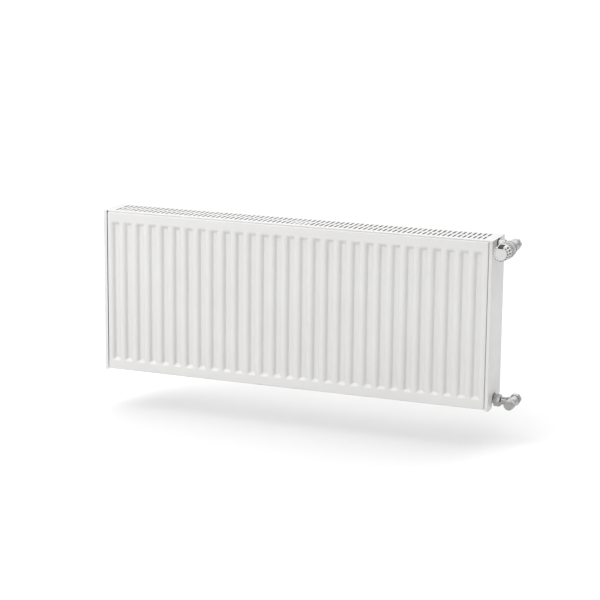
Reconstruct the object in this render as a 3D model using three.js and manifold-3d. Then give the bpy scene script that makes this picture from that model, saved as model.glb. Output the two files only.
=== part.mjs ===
// A double-panel steel radiator with a thermostatic valve and a lockshield valve.
// Millimetres. +X is to the viewer's right, the front faces -Y, +Y is towards the wall and +Z is up.
// The origin is at mid-length, in the wall-side plane of the hanging lugs, at the height where the
// upper lugs bear on their wall brackets.

import * as THREE from 'three';
import { mergeVertices } from 'three/addons/utils/BufferGeometryUtils.js';
import Module from 'manifold-3d';

const wasm = await Module();
wasm.setup();

// ---------------------------------------------------------------------------------------------
// Driving dimensions
// ---------------------------------------------------------------------------------------------

const GAP = 0.3; // clearance kept between pieces that touch

const LENGTH = 1000; // over both side covers
const PANEL_HEIGHT = 400;
const BODY_DEPTH = 102; // front face to rear face
const PANEL_DEPTH = 16;
const PANEL_LENGTH = 981;
const SHEET = 1.25; // thickness of the pressed panel sheets
const EDGE_RADIUS = 3; // along the panels' top and bottom edges

const FLUTE_COUNT = 29;
const FLUTE_PITCH = 100 / 3;
const FLUTE_OPENING = 22.6;
const FLUTE_SLOPE = 6.3; // width of each sloping side
const FLUTE_DEPTH = 6.6;
const FLUTE_MARGIN = 24; // flute ends from the panel's top and bottom edges

const FIN_SHEET = 0.8;
const FIN_FLAT = 8; // width of each crest and trough
const FIN_DEPTH = 33.6;
const FIN_MARGIN = 30; // fins' ends from the panel's top and bottom edges

const COVER_SHEET = 1;
const COVER_STRIP = 8.5; // width of the covers' folded front, rear and top strips
const COVER_DROP = 3; // how far the covers reach below the panels
const COVER_HOLE = 16.5; // radius of the port cut-outs

const GRILLE_RISE = 4; // grille's top face above the panels' top edges
const GRILLE_SHEET = 1;
const GRILLE_SETBACK = 4; // grille's long edges behind the panel faces
const SLOT_COLUMNS = 78;
const SLOT_PITCH = 12.26;
const SLOT_WIDTH = 5;
const SLOT_LENGTH = 34;
const SLOT_BAR = 5; // solid bar between the two rows

const LUG_DEPTH = 9; // wall-side face of the lugs from the rear panel
const LUG_DROP = 60; // upper lugs' bearing edge below the panels' top edge
const LUG_SPACING = 240; // upper to lower bearing edges
const LUG_FLUTE = 12; // lugs straddle this flute, counted from the middle
const LUG_SHEET = 2;
const LUG_HEIGHT = 40;
const LUG_HALF_WIDTH = 12.5; // of the raised bridge
const LUG_EAR = 9; // width of each welded ear

const PORT_INSET = 14; // port axes from the panels' top and bottom edges
const TEE_INSET = 33.3; // tee's cross tube from the overall end
const SOCKET_INSET = 12; // socket faces from the overall end
const SOCKET_BORE = 10.75; // G 1/2 internal thread
const THREAD_RADIUS = 10.4; // G 1/2 external thread

const UNION_START = 1; // union nut from the cover's outer face
const UNION_LENGTH = 16;
const UNION_FLATS = 27;
const UNION_THREAD = 11.7; // G 3/4 external thread on the valve bodies
const VALVE_SEAT_REACH = 9.5; // valve bodies' union ends from the cover's outer face

const THERMOSTAT_REACH = 34; // thermostatic valve's axis from the cover's outer face
const LOCKSHIELD_REACH = 46;
const INLET_END = 32; // inlet nuts' end faces behind the valve axes
const INLET_FLATS = 25;
const PIPE_BORE = 7.8; // takes a 15 mm pipe
const INLET_THREAD = 10.6;

const ROUND = 16; // sides of a round piece
const FINE = 24; // sides of a piece that turns close inside another
const HIDDEN = 12; // sides of a bore or thread inside the radiator

// ---------------------------------------------------------------------------------------------
// Planes worked out from the driving dimensions
// ---------------------------------------------------------------------------------------------

const HALF_LENGTH = LENGTH / 2;
const TOP_Z = LUG_DROP;
const BOTTOM_Z = TOP_Z - PANEL_HEIGHT;
const REAR_Y = -LUG_DEPTH;
const FRONT_Y = REAR_Y - BODY_DEPTH;
const PORT_Y = (FRONT_Y + REAR_Y) / 2;
const UPPER_PORT_Z = TOP_Z - PORT_INSET;
const LOWER_PORT_Z = BOTTOM_Z + PORT_INSET;
const GRILLE_Z = TOP_Z + GRILLE_RISE;
const PRESS_DEPTH = (PANEL_DEPTH - GAP) / 2;
const AIR_DEPTH = BODY_DEPTH - 2 * PANEL_DEPTH; // clear depth between the two panels

// ---------------------------------------------------------------------------------------------
// Materials
// ---------------------------------------------------------------------------------------------

const finish = (color, roughness, metalness) =>
  new THREE.MeshStandardMaterial({ color, roughness, metalness });

const ENAMEL = finish(0xf1f1f0, 0.35, 0);
const NICKEL = finish(0xb9b8b5, 0.3, 1);
const BRASS = finish(0xb58a4a, 0.35, 1);
const SPRING_STEEL = finish(0x9a9c9f, 0.3, 1);
const WHITE_PLASTIC = finish(0xf2f2f0, 0.45, 0);
const DARK_PLASTIC = finish(0x2b2a2c, 0.25, 0);
const SENSOR_PLASTIC = finish(0x55565a, 0.5, 0);
const RUBBER = finish(0x1c1c1c, 0.8, 0);

// ---------------------------------------------------------------------------------------------
// Solids
// ---------------------------------------------------------------------------------------------

function solidOf(geometry) {
  geometry.deleteAttribute('normal');
  geometry.deleteAttribute('uv');
  const merged = mergeVertices(geometry);
  const corners = merged.index.array;
  const kept = [];
  for (let i = 0; i < corners.length; i += 3) {
    const triangle = [corners[i], corners[i + 1], corners[i + 2]];
    if (new Set(triangle).size === 3) kept.push(...triangle);
  }
  const mesh = new wasm.Mesh({
    numProp: 3,
    vertProperties: new Float32Array(merged.attributes.position.array),
    triVerts: new Uint32Array(kept),
  });
  return new wasm.Manifold(mesh);
}

function geometryOf(solid) {
  const mesh = solid.getMesh();
  const geometry = new THREE.BufferGeometry();
  geometry.setAttribute('position', new THREE.BufferAttribute(mesh.vertProperties, 3));
  geometry.setIndex(new THREE.BufferAttribute(mesh.triVerts, 1));
  return geometry;
}

function block([x0, x1], [y0, y1], [z0, z1]) {
  const geometry = new THREE.BoxGeometry(x1 - x0, y1 - y0, z1 - z0);
  return solidOf(geometry.translate((x0 + x1) / 2, (y0 + y1) / 2, (z0 + z1) / 2));
}

function signedArea(points) {
  return points.reduce((sum, [x, y], i) => {
    const [nextX, nextY] = points[(i + 1) % points.length];
    return sum + (x * nextY - nextX * y) / 2;
  }, 0);
}

// A profile of [radius, distance along the axis] points turned round the X or Y axis. It starts and
// ends on the axis, or is a closed ring.
function turned(points, axis = 'y', sides = ROUND) {
  const startsOnAxis = points[0][0] === 0 && points.at(-1)[0] === 0;
  const loop = startsOnAxis ? [...points] : [...points, points[0]];
  if (signedArea(points) < 0) loop.reverse();
  const geometry = new THREE.LatheGeometry(
    loop.map(([radius, along]) => new THREE.Vector2(radius, along)),
    sides,
  );
  if (axis === 'x') geometry.rotateZ(-Math.PI / 2);
  return solidOf(geometry);
}

const rod = (radius, [from, to], axis = 'y', sides = ROUND) =>
  turned([[0, from], [radius, from], [radius, to], [0, to]], axis, sides);

const tube = (outer, inner, [from, to], axis = 'y', sides = ROUND) =>
  turned([[inner, from], [outer, from], [outer, to], [inner, to]], axis, sides);

// An outline in the XY plane extruded from z0 to z1.
function upright(outline, [z0, z1]) {
  const shape = new THREE.Shape(outline.map(([x, y]) => new THREE.Vector2(x, y)));
  const geometry = new THREE.ExtrudeGeometry(shape, { depth: z1 - z0, bevelEnabled: false });
  return solidOf(geometry.translate(0, 0, z0));
}

// A hexagonal bar along the X or Y axis, with its flats facing up and down.
function hexBar(flats, [from, to], axis) {
  const corner = flats / 2 / Math.cos(Math.PI / 6);
  const geometry = new THREE.CylinderGeometry(corner, corner, to - from, 6);
  geometry.rotateY(Math.PI / 6);
  geometry.translate(0, (from + to) / 2, 0);
  if (axis === 'x') geometry.rotateZ(-Math.PI / 2);
  return solidOf(geometry);
}

const joined = (...solids) => solids.reduce((whole, solid) => whole.add(solid));
const cut = (solid, ...tools) => tools.reduce((whole, tool) => whole.subtract(tool), solid);

function part(name, solid, material) {
  const mesh = new THREE.Mesh(geometryOf(solid), material);
  mesh.name = name;
  return mesh;
}

function groupAt([x, y, z], ...members) {
  const group = new THREE.Group();
  group.position.set(x, y, z);
  group.add(...members);
  return group;
}

// ---------------------------------------------------------------------------------------------
// Panels: each is two pressed sheets, back to back. A sheet's own frame has its outer face at y = 0,
// its rim at y = PRESS_DEPTH, x from the middle and z from the bottom edge.
// ---------------------------------------------------------------------------------------------

function roundedSlab(inset, front, back) {
  const radius = EDGE_RADIUS - inset;
  const [low, high] = [inset, PANEL_HEIGHT - inset];
  const shape = new THREE.Shape();
  shape.moveTo(back, low);
  shape.lineTo(back, high);
  shape.lineTo(front + radius, high);
  shape.absarc(front + radius, high - radius, radius, Math.PI / 2, Math.PI, false);
  shape.lineTo(front, low + radius);
  shape.absarc(front + radius, low + radius, radius, Math.PI, 1.5 * Math.PI, false);
  const length = PANEL_LENGTH - 2 * inset;
  const geometry = new THREE.ExtrudeGeometry(shape, {
    depth: length,
    bevelEnabled: false,
    curveSegments: 3,
  });
  // The outline's (x, y) become (y, z) and the extrusion runs along x.
  const turn = new THREE.Matrix4().set(0, 0, 1, -length / 2, 1, 0, 0, 0, 0, 1, 0, 0, 0, 0, 0, 1);
  return solidOf(geometry.applyMatrix4(turn));
}

// The tapered pocket of one flute, grown sideways by `growth`, from in front of the face to `depth`.
function flutePocket(centreX, growth, depth) {
  const start = -1;
  const corners = [];
  for (const y of [start, depth]) {
    const narrowing = (FLUTE_SLOPE * y) / FLUTE_DEPTH - growth;
    const halfWidth = FLUTE_OPENING / 2 - narrowing;
    const low = FLUTE_MARGIN + narrowing;
    const high = PANEL_HEIGHT - FLUTE_MARGIN - narrowing;
    corners.push([-halfWidth, y, low], [halfWidth, y, low], [halfWidth, y, high], [-halfWidth, y, high]);
  }
  const geometry = new THREE.BufferGeometry();
  const positions = corners.flatMap(([x, y, z]) => [x + centreX, y, z]);
  geometry.setAttribute('position', new THREE.Float32BufferAttribute(positions, 3));
  const faces = [[0, 1, 2, 3], [5, 4, 7, 6], [4, 5, 1, 0], [5, 6, 2, 1], [6, 7, 3, 2], [7, 4, 0, 3]];
  geometry.setIndex(faces.flatMap(([a, b, c, d]) => [a, b, c, a, c, d]));
  return solidOf(geometry);
}

function flutes(growth, depth) {
  const half = (FLUTE_COUNT - 1) / 2;
  const pockets = [];
  for (let k = -half; k <= half; k += 1) {
    pockets.push(flutePocket(k * FLUTE_PITCH, growth, depth));
  }
  return joined(...pockets);
}

function pressedSheet() {
  const slopeLength = Math.hypot(FLUTE_SLOPE, FLUTE_DEPTH);
  const growth = (SHEET * slopeLength) / FLUTE_DEPTH;
  const outside = cut(roundedSlab(0, 0, PRESS_DEPTH), flutes(0, FLUTE_DEPTH));
  const hollow = cut(roundedSlab(SHEET, SHEET, PRESS_DEPTH + 1), flutes(growth, PRESS_DEPTH + 2));
  return cut(outside, hollow);
}

function portHoles() {
  const waterway = 7;
  const teeX = HALF_LENGTH - TEE_INSET;
  const holes = [];
  for (const x of [-teeX, teeX]) {
    for (const z of [PORT_INSET, PANEL_HEIGHT - PORT_INSET]) {
      const geometry = geometryOf(rod(waterway, [-1, SHEET + 1], 'y', HIDDEN));
      holes.push(solidOf(geometry.translate(x, 0, z)));
    }
  }
  return holes;
}

function panel(name, outerFaceY, facing) {
  const sheet = pressedSheet();
  const outer = part(`${name}_panel_outer_sheet`, sheet, ENAMEL);
  const inner = part(`${name}_panel_inner_sheet`, cut(sheet, ...portHoles()), ENAMEL);
  const innerFaceY = outerFaceY + facing * PANEL_DEPTH;
  outer.position.y = outerFaceY;
  inner.position.y = innerFaceY;
  outer.rotation.z = facing > 0 ? 0 : Math.PI;
  inner.rotation.z = facing > 0 ? Math.PI : 0;
  return groupAt([0, 0, BOTTOM_Z], outer, inner);
}

// ---------------------------------------------------------------------------------------------
// Convectors: one folded sheet behind each panel, its crests on the panel's water channels
// ---------------------------------------------------------------------------------------------

function offsetLine(points, distance) {
  const normals = points.slice(1).map(([x, y], i) => {
    const [dx, dy] = [x - points[i][0], y - points[i][1]];
    const length = Math.hypot(dx, dy);
    return [-dy / length, dx / length];
  });
  return points.map(([x, y], i) => {
    const before = normals[Math.max(i - 1, 0)];
    const after = normals[Math.min(i, normals.length - 1)];
    const scale = distance / (1 + before[0] * after[0] + before[1] * after[1]);
    return [x + (before[0] + after[0]) * scale, y + (before[1] + after[1]) * scale];
  });
}

function foldedFins() {
  const half = (FLUTE_COUNT - 1) / 2;
  const crestY = GAP + FIN_SHEET / 2;
  const troughY = FIN_DEPTH - FIN_SHEET / 2;
  const line = [];
  for (let k = -half; k <= half; k += 1) {
    const trough = k * FLUTE_PITCH;
    const crest = trough + FLUTE_PITCH / 2;
    line.push([trough - FIN_FLAT / 2, troughY], [trough + FIN_FLAT / 2, troughY]);
    if (k < half) line.push([crest - FIN_FLAT / 2, crestY], [crest + FIN_FLAT / 2, crestY]);
  }
  const outline = [
    ...offsetLine(line, FIN_SHEET / 2),
    ...offsetLine(line, -FIN_SHEET / 2).reverse(),
  ];
  return upright(outline, [FIN_MARGIN, PANEL_HEIGHT - FIN_MARGIN]);
}

function convectors() {
  const front = part('front_convector', foldedFins(), ENAMEL);
  const rear = part('rear_convector', foldedFins(), ENAMEL);
  front.position.y = FRONT_Y + PANEL_DEPTH;
  rear.position.y = REAR_Y - PANEL_DEPTH;
  rear.rotation.z = Math.PI;
  return groupAt([0, 0, BOTTOM_Z], front, rear);
}

// ---------------------------------------------------------------------------------------------
// Port tees: each joins the two panels and opens sideways in a threaded socket
// ---------------------------------------------------------------------------------------------

function portTee(name, side, z) {
  const [crossOuter, crossBore, bossOuter] = [11, 7.5, 13.5];
  const halfSpan = AIR_DEPTH / 2 - GAP;
  const reach = TEE_INSET - SOCKET_INSET;
  const cross = rod(crossOuter, [-halfSpan, halfSpan], 'y', HIDDEN);
  const crossHole = rod(crossBore, [-halfSpan - 1, halfSpan + 1], 'y', HIDDEN);
  const boss = rod(bossOuter, side > 0 ? [0, reach] : [-reach, 0], 'x');
  const bossHole = rod(SOCKET_BORE, side > 0 ? [0, reach + 1] : [-reach - 1, 0], 'x');
  const tee = part(name, cut(joined(cross, boss), crossHole, bossHole), ENAMEL);
  tee.position.set(side * (HALF_LENGTH - TEE_INSET), PORT_Y, z);
  return tee;
}

// ---------------------------------------------------------------------------------------------
// Top grille and the stay under its middle
// ---------------------------------------------------------------------------------------------

function grilleSlots() {
  const rowY = (SLOT_LENGTH + SLOT_BAR) / 2;
  const slots = [];
  for (let column = 0; column < SLOT_COLUMNS; column += 1) {
    const x = (column - (SLOT_COLUMNS - 1) / 2) * SLOT_PITCH;
    for (const y of [-rowY, rowY]) {
      const acrossSlot = [x - SLOT_WIDTH / 2, x + SLOT_WIDTH / 2];
      slots.push(block(acrossSlot, [y - SLOT_LENGTH / 2, y + SLOT_LENGTH / 2], [-2, 1]));
    }
  }
  return joined(...slots);
}

function topGrille() {
  const halfX = HALF_LENGTH - COVER_STRIP - GAP;
  const halfY = BODY_DEPTH / 2 - GRILLE_SETBACK;
  const foot = -GRILLE_RISE + GAP;
  const flange = (y0, y1) => block([-halfX, halfX], [y0, y1], [foot, 0]);
  const plate = block([-halfX, halfX], [-halfY, halfY], [-GRILLE_SHEET, 0]);
  const grille = joined(
    cut(plate, grilleSlots()),
    flange(-halfY, -halfY + GRILLE_SHEET),
    flange(halfY - GRILLE_SHEET, halfY),
  );
  return groupAt([0, PORT_Y, GRILLE_Z], part('top_grille', grille, ENAMEL));
}

function centreStay() {
  const [halfWidth, thickness, drop, lip] = [21, 1.5, 2.5, 8];
  const halfSpan = AIR_DEPTH / 2 - GAP;
  const top = -drop;
  const strap = block([-halfWidth, halfWidth], [-halfSpan, halfSpan], [top - thickness, top]);
  const tab = (y0, y1) => block([-halfWidth, halfWidth], [y0, y1], [top - lip, top]);
  const stay = joined(
    strap,
    tab(-halfSpan, -halfSpan + thickness),
    tab(halfSpan - thickness, halfSpan),
  );
  return groupAt([0, PORT_Y, TOP_Z], part('centre_stay', stay, ENAMEL));
}

// ---------------------------------------------------------------------------------------------
// Side covers: folded sheets with a round upper cut-out and a lower one open at the bottom edge
// ---------------------------------------------------------------------------------------------

function sideCover(name, side) {
  const low = BOTTOM_Z - COVER_DROP;
  const across = (from, to) => (side > 0 ? [from, to] : [-to, -from]);
  const shell = cut(
    block(across(HALF_LENGTH - COVER_STRIP, HALF_LENGTH), [FRONT_Y, REAR_Y], [low, GRILLE_Z]),
    block(
      across(0, HALF_LENGTH - COVER_SHEET),
      [FRONT_Y + COVER_SHEET, REAR_Y - COVER_SHEET],
      [low - 1, GRILLE_Z - COVER_SHEET],
    ),
  );
  const drill = geometryOf(rod(COVER_HOLE, across(HALF_LENGTH - 2, HALF_LENGTH + 1), 'x', FINE));
  const upper = solidOf(drill.clone().translate(0, PORT_Y, UPPER_PORT_Z));
  const lower = solidOf(drill.clone().translate(0, PORT_Y, LOWER_PORT_Z));
  const notch = block(
    across(HALF_LENGTH - 2, HALF_LENGTH + 1),
    [PORT_Y - COVER_HOLE, PORT_Y + COVER_HOLE],
    [low - 1, LOWER_PORT_Z],
  );
  return part(name, cut(shell, upper, lower, notch), ENAMEL);
}

// ---------------------------------------------------------------------------------------------
// Hanging lugs: hat-shaped bridges on the rear panel, closed at the top, open below for the hook
// ---------------------------------------------------------------------------------------------

function hangingLug(name, side, z) {
  const base = -LUG_DEPTH + GAP;
  const outer = LUG_HALF_WIDTH;
  const inner = outer - LUG_SHEET;
  const ear = outer + LUG_EAR;
  const outline = [
    [-ear, base], [-inner, base], [-inner, -LUG_SHEET], [inner, -LUG_SHEET],
    [inner, base], [ear, base], [ear, base + LUG_SHEET], [outer, base + LUG_SHEET],
    [outer, 0], [-outer, 0], [-outer, base + LUG_SHEET], [-ear, base + LUG_SHEET],
  ];
  const bridge = upright(outline, [-LUG_HEIGHT, LUG_SHEET]);
  const bearing = block([-outer, outer], [base, 0], [0, LUG_SHEET]);
  const lug = part(name, joined(bridge, bearing), ENAMEL);
  lug.position.set(side * LUG_FLUTE * FLUTE_PITCH, 0, z);
  return lug;
}

// ---------------------------------------------------------------------------------------------
// Plugs on the left side. Their own frames have x = 0 at the socket face, and -x points outwards.
// ---------------------------------------------------------------------------------------------

const PLUG_NECK = 2.6; // between the socket face and the plug's head, filled by the O-ring
const PLUG_HEAD = 6.5;

function plugShape() {
  return joined(
    rod(THREAD_RADIUS, [-PLUG_NECK, 14], 'x'),
    hexBar(22, [-PLUG_NECK - PLUG_HEAD, -PLUG_NECK], 'x'),
  );
}

function plugRing(name) {
  const ring = tube(12.4, THREAD_RADIUS + GAP, [-PLUG_NECK + GAP, -GAP], 'x');
  return part(name, ring, RUBBER);
}

function airVent() {
  const face = -PLUG_NECK - PLUG_HEAD;
  const headRecess = rod(4.6, [face - 1, face + 4], 'x', HIDDEN);
  const screwHole = rod(2.8, [face, 6], 'x', HIDDEN);
  const airway = rod(1.2, [0, 15], 'x', HIDDEN);
  const plug = part('air_vent_plug', cut(plugShape(), headRecess, screwHole, airway), NICKEL);
  const thread = rod(2.4, [face + 3.5, 4], 'x', HIDDEN);
  const squareHead = block([face, face + 3.5], [-2.5, 2.5], [-2.5, 2.5]);
  const screw = part('bleed_screw', joined(thread, squareHead), NICKEL);
  const at = [-HALF_LENGTH + SOCKET_INSET, PORT_Y, UPPER_PORT_Z];
  return groupAt(at, plug, plugRing('air_vent_o_ring'), screw);
}

function blankingPlug() {
  const face = -PLUG_NECK - PLUG_HEAD;
  const recess = hexBar(10, [face - 1, face + 7], 'x');
  const plug = part('blanking_plug', cut(plugShape(), recess), NICKEL);
  const at = [-HALF_LENGTH + SOCKET_INSET, PORT_Y, LOWER_PORT_Z];
  return groupAt(at, plug, plugRing('blanking_plug_o_ring'));
}

// ---------------------------------------------------------------------------------------------
// Unions: tailpiece in the radiator's socket and the nut that pulls the valve onto it. Their frame
// has x = 0 at the cover's outer face.
// ---------------------------------------------------------------------------------------------

function unionPieces(prefix, z) {
  const socket = -SOCKET_INSET;
  const lipEnd = UNION_START + 4.8;
  const tailEnd = VALVE_SEAT_REACH - GAP;
  const [tailBore, tailRadius, flangeRadius, collarRadius] = [6.5, 9.2, 11.4, 12.3];
  const tailpiece = turned([
    [tailBore, socket - 18], [THREAD_RADIUS, socket - 18], [THREAD_RADIUS, socket + GAP],
    [collarRadius, socket + GAP], [collarRadius, socket + 3], [tailRadius, socket + 3],
    [tailRadius, lipEnd + 0.4], [flangeRadius, lipEnd + 0.4], [flangeRadius, tailEnd],
    [tailBore, tailEnd],
  ], 'x');
  const nut = cut(
    hexBar(UNION_FLATS, [UNION_START, UNION_START + UNION_LENGTH], 'x'),
    rod(tailRadius + 0.5, [UNION_START - 1, lipEnd + 1], 'x'),
    rod(UNION_THREAD + 0.45, [lipEnd, UNION_START + UNION_LENGTH + 1], 'x'),
  );
  return groupAt(
    [HALF_LENGTH, PORT_Y, z],
    part(`${prefix}_tailpiece`, tailpiece, NICKEL),
    part(`${prefix}_union_nut`, nut, NICKEL),
  );
}

// ---------------------------------------------------------------------------------------------
// Inlet connection: compression nut and olive for the pipe from the wall. A valve's own frame has its
// origin where its axes cross, with -x towards the radiator and -y towards the room.
// ---------------------------------------------------------------------------------------------

function inletPieces(prefix) {
  const [nutStart, shoulder, threadEnd] = [14.5, 26.6, 24];
  const nut = cut(
    hexBar(INLET_FLATS, [nutStart, INLET_END], 'y'),
    rod(INLET_THREAD + 0.4, [nutStart - 1, shoulder]),
    rod(PIPE_BORE, [shoulder - 1, INLET_END + 1]),
  );
  const olive = turned([
    [PIPE_BORE, threadEnd + GAP], [8.8, threadEnd + GAP], [9.9, (threadEnd + shoulder) / 2],
    [8.8, shoulder - GAP], [PIPE_BORE, shoulder - GAP],
  ]);
  return [part(`${prefix}_inlet_nut`, nut, NICKEL), part(`${prefix}_inlet_olive`, olive, BRASS)];
}

// The arm that carries the union thread, and the waterway through it.
function unionArm(reach, neckRadius) {
  const end = -reach + VALVE_SEAT_REACH;
  const bore = 6.8;
  const arm = turned([
    [0, end], [UNION_THREAD - 0.6, end], [UNION_THREAD, end + 0.6], [UNION_THREAD, end + 9],
    [neckRadius, end + 10], [neckRadius, 0], [0, 0],
  ], 'x');
  return { arm, waterway: rod(bore, [end - 1, 0], 'x') };
}

// ---------------------------------------------------------------------------------------------
// Thermostatic valve
// ---------------------------------------------------------------------------------------------

function thermostatBody() {
  const { arm, waterway } = unionArm(THERMOSTAT_REACH, 9.6);
  const barrel = turned([
    [0, -30], [14, -30], [14.6, -29.4], [14.6, -20.5], [11.5, -20.5], [11.5, -14],
    [12.5, -13], [12.5, 11.5], [INLET_THREAD, 12.5], [INLET_THREAD, 24], [0, 24],
  ]);
  const chamber = turned([
    [0, -31], [9.5, -31], [9.5, 5], [5.5, 5], [5.5, 14], [PIPE_BORE, 14], [PIPE_BORE, 25], [0, 25],
  ]);
  return part('thermostat_body', cut(joined(barrel, arm), chamber, waterway), NICKEL);
}

function returnSpring() {
  const [start, end, radius, wire, turns] = [-21.6, -1.6, 4.6, 0.55, 5];
  const [stepsPerTurn, halfWireSides] = [9, 3];
  class Helix extends THREE.Curve {
    getPoint(t, target = new THREE.Vector3()) {
      const angle = 2 * Math.PI * turns * t;
      const along = start + wire + (end - start - 2 * wire) * t;
      return target.set(radius * Math.cos(angle), along, radius * Math.sin(angle));
    }
  }
  const section = new THREE.Shape();
  section.absarc(0, 0, wire, 0, 2 * Math.PI, false);
  const geometry = new THREE.ExtrudeGeometry(section, {
    steps: turns * stepsPerTurn,
    curveSegments: halfWireSides,
    bevelEnabled: false,
    extrudePath: new Helix(),
  });
  return part('valve_return_spring', solidOf(geometry), SPRING_STEEL);
}

function thermostatInnards() {
  const insert = turned([
    [2.3, -29.7], [9.1, -29.7], [9.1, -12], [6.8, -12], [6.8, -22], [2.3, -22],
    [2.3, -24], [3.9, -24], [3.9, -26.4], [2.3, -26.4],
  ]);
  const ring = turned([[2.2, -25.2], [2.9, -24.4], [3.6, -25.2], [2.9, -26]]);
  const pin = rod(1.9, [-36, -1.4]);
  const disc = turned([[0, -1.1], [5, -1.1], [7.2, 0.2], [7.2, 2.4], [0, 2.4]]);
  return [
    part('valve_insert', insert, BRASS),
    part('valve_pin_o_ring', ring, RUBBER),
    part('valve_pin', pin, SPRING_STEEL),
    part('valve_disc', disc, RUBBER),
    returnSpring(),
  ];
}

const HEAD = {
  scaleEnd: -50, // front of the fixed scale ring
  wheelEnd: -101, // front of the turning handwheel
  tip: -107,
  scaleRadius: 19.3,
  wheelRadius: 20.6,
  tipRadius: 18.6,
  slots: 16,
  slotFrom: -86,
  slotTo: -98,
};

function headBase() {
  const base = turned([
    [5.6, -30.3], [14.5, -30.3], [14.5, -33.7], [12.2, -33.7], [12.2, -38], [HEAD.scaleRadius, -38],
    [HEAD.scaleRadius, HEAD.scaleEnd], [14, HEAD.scaleEnd], [14, -80], [12.4, -80], [12.4, -41],
    [5.6, -41],
  ], 'y', FINE);
  return part('head_base', base, WHITE_PLASTIC);
}

function collarNut() {
  const collar = turned([
    [12.7, -36], [16.4, -36], [17, -35.4], [17, -21.4], [16.4, -20.8], [15, -20.8], [15, -34],
    [12.7, -34],
  ], 'y', FINE);
  return part('head_collar_nut', collar, NICKEL);
}

// A block that cuts through the handwheel's wall on one side, turned round the head's axis.
function wallCutter(width, angle) {
  const cutter = geometryOf(block([-width / 2, width / 2], [HEAD.slotTo, HEAD.slotFrom], [14.8, 22]));
  return solidOf(cutter.rotateY(angle));
}

function handwheel() {
  const rim = HEAD.scaleEnd - 0.4;
  const shell = turned([
    [14.5, -58], [14.5, -62], [17.3, -62], [16.2, HEAD.wheelEnd], [HEAD.tipRadius, HEAD.wheelEnd],
    [HEAD.wheelRadius, -60], [HEAD.wheelRadius, rim - 1.5], [HEAD.wheelRadius - 1, rim],
    [17.3, rim], [17.3, -58],
  ], 'y', FINE);
  const cutters = [wallCutter(12, 0)];
  const step = (2 * Math.PI) / HEAD.slots;
  for (let slot = 2; slot <= HEAD.slots - 2; slot += 1) {
    cutters.push(wallCutter(2.8, slot * step));
  }
  return part('handwheel', cut(shell, ...cutters), WHITE_PLASTIC);
}

function headPieces() {
  const window = block([-5.6, 5.6], [HEAD.slotTo + 0.5, HEAD.slotFrom - 0.5], [15.2, 17]);
  const cap = turned([
    [0, HEAD.tip], [HEAD.tipRadius - 3, HEAD.tip], [HEAD.tipRadius - 0.6, HEAD.tip + 1.4],
    [HEAD.tipRadius, HEAD.tip + 3], [HEAD.tipRadius, HEAD.wheelEnd - 0.4], [0, HEAD.wheelEnd - 0.4],
  ], 'y', FINE);
  const sensor = turned([
    [0, -97], [10.6, -97], [11.7, -95.5], [11.7, -64], [9.5, -62], [0, -62],
  ], 'y', FINE);
  const sleeve = rod(5, [-61.7, -36.4]);
  return [
    headBase(),
    collarNut(),
    handwheel(),
    part('indicator_window', window, DARK_PLASTIC),
    part('head_end_cap', cap, WHITE_PLASTIC),
    part('sensor_capsule', sensor, SENSOR_PLASTIC),
    part('push_sleeve', sleeve, WHITE_PLASTIC),
  ];
}

function thermostaticValve() {
  return groupAt(
    [HALF_LENGTH + THERMOSTAT_REACH, PORT_Y, UPPER_PORT_Z],
    thermostatBody(),
    ...thermostatInnards(),
    ...headPieces(),
    ...inletPieces('thermostat'),
  );
}

// ---------------------------------------------------------------------------------------------
// Lockshield valve
// ---------------------------------------------------------------------------------------------

function lockshieldBody() {
  const { arm, waterway } = unionArm(LOCKSHIELD_REACH, 9.2);
  const barrel = turned([
    [0, -24], [9.3, -24], [9.3, -14], [11.5, -13], [11.5, 11.5], [INLET_THREAD, 12.5],
    [INLET_THREAD, 24], [0, 24],
  ]);
  const chamber = turned([
    [0, -25], [6.6, -25], [6.6, 4], [5, 4], [5, 14], [PIPE_BORE, 14], [PIPE_BORE, 25], [0, 25],
  ]);
  return part('lockshield_body', cut(joined(barrel, arm), chamber, waterway), NICKEL);
}

function lockshieldPieces() {
  const gland = tube(6.2, 3.5, [-23.7, -14]);
  const ring = turned([[3.4, -13], [4.8, -11.9], [6.2, -13], [4.8, -13.7]]);
  const screw = cut(rod(3.1, [-33, -4]), hexBar(3.2, [-34, -28], 'y'));
  const cone = turned([[0, -1], [3.5, -1], [3.5, -8], [6.2, -8], [6.2, -2], [4.4, 1], [0, 1]]);
  const cap = turned([
    [0, -40], [11.4, -40], [12.8, -38.6], [12.8, -15.6], [12, -14.8], [9.8, -14.8], [9.8, -36.5],
    [0, -36.5],
  ], 'y', FINE);
  return [
    part('lockshield_gland', gland, BRASS),
    part('lockshield_o_ring', ring, RUBBER),
    part('regulating_screw', screw, BRASS),
    part('regulating_cone', cone, BRASS),
    part('lockshield_cap', cap, NICKEL),
  ];
}

function lockshieldValve() {
  return groupAt(
    [HALF_LENGTH + LOCKSHIELD_REACH, PORT_Y, LOWER_PORT_Z],
    lockshieldBody(),
    ...lockshieldPieces(),
    ...inletPieces('lockshield'),
  );
}

// ---------------------------------------------------------------------------------------------
// The whole radiator
// ---------------------------------------------------------------------------------------------

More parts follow.
